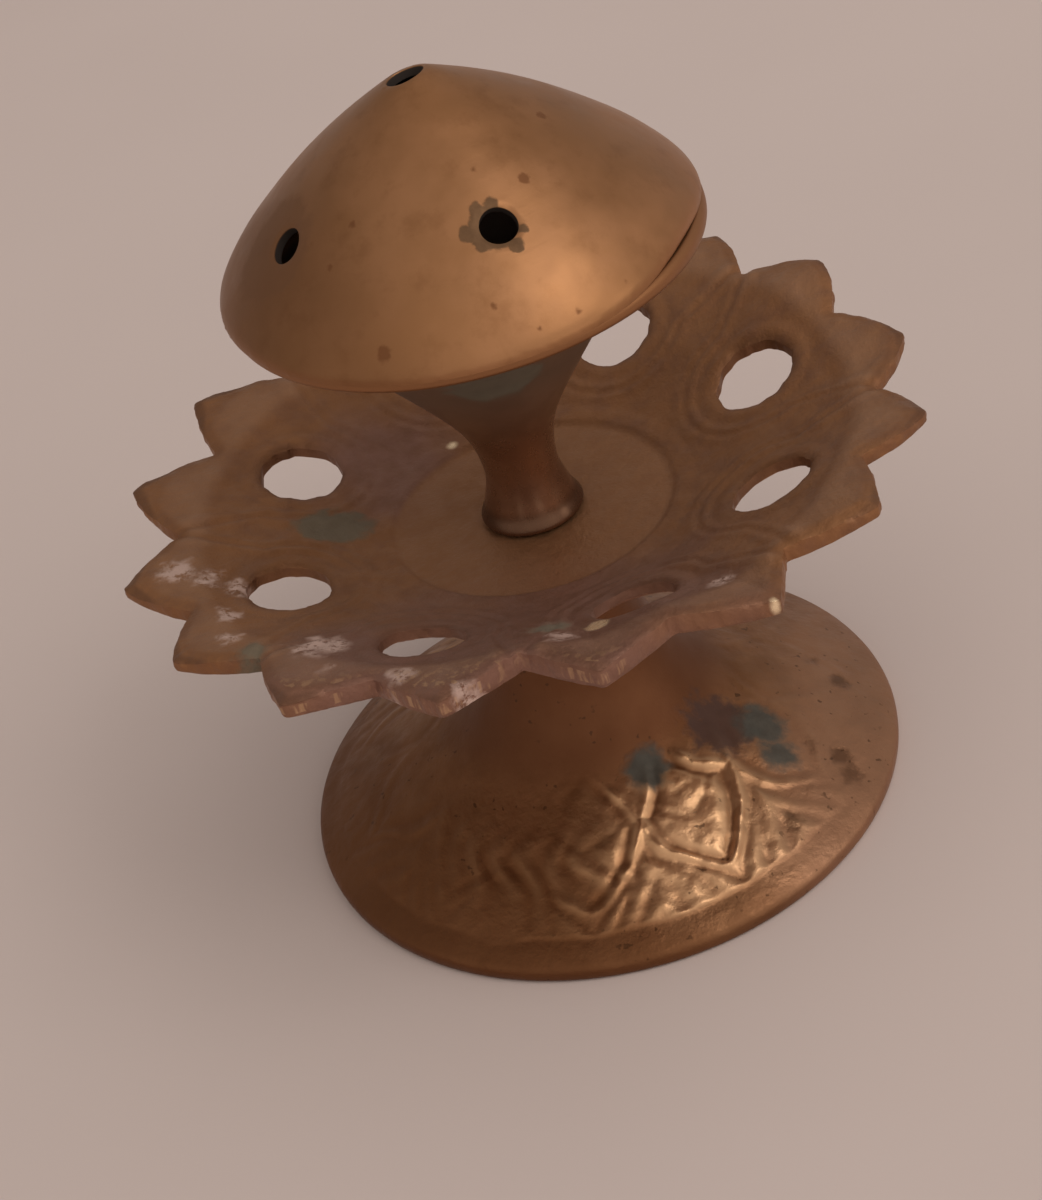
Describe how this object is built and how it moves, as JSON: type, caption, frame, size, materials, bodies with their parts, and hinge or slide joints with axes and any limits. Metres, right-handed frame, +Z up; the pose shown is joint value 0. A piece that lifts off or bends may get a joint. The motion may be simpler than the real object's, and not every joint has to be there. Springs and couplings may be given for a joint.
{
  "type": "incense burner",
  "caption": "Turned and cast brass incense burner: pierced dome cap on a trumpet-shaped holder, over a lotus-shaped pierced tray and a hollow bell foot.",
  "frame": {"origin": "centre of the ring that the foot rests on", "axes": "+Z up along the axis of the foot, the holder and the cap; -Y towards the viewer"},
  "size_m": [0.0754, 0.0754, 0.079],
  "materials": {
    "cast_brass_foot": "cast, embossed, tarnished",
    "cast_brass_tray": "rough cast, dull, heavily tarnished",
    "turned_brass": "turned, dark and polished by handling",
    "spun_brass": "spun, satin, spotted with tarnish",
    "plated_steel": "dull plated"
  },
  "bodies": {
    "base": {"foot": "cast_brass_foot", "lotus_tray": "cast_brass_tray", "tie_stud": "plated_steel", "washer": "plated_steel", "hex_nut": "plated_steel"},
    "holder": {"trumpet_holder": "turned_brass"},
    "cap": {"dome_cap": "spun_brass"}
  },
  "joints": [
    {"name": "holder_turn", "type": "hinge", "parent": "base", "child": "holder", "pos_m": [0, 0, 0.0335], "axis": [0, 0, 1], "range_deg": [0, 360]},
    {"name": "cap_lift", "type": "slide", "parent": "holder", "child": "cap", "axis": [0, 0, 1], "range_m": [0, 0.03]}
  ]
}
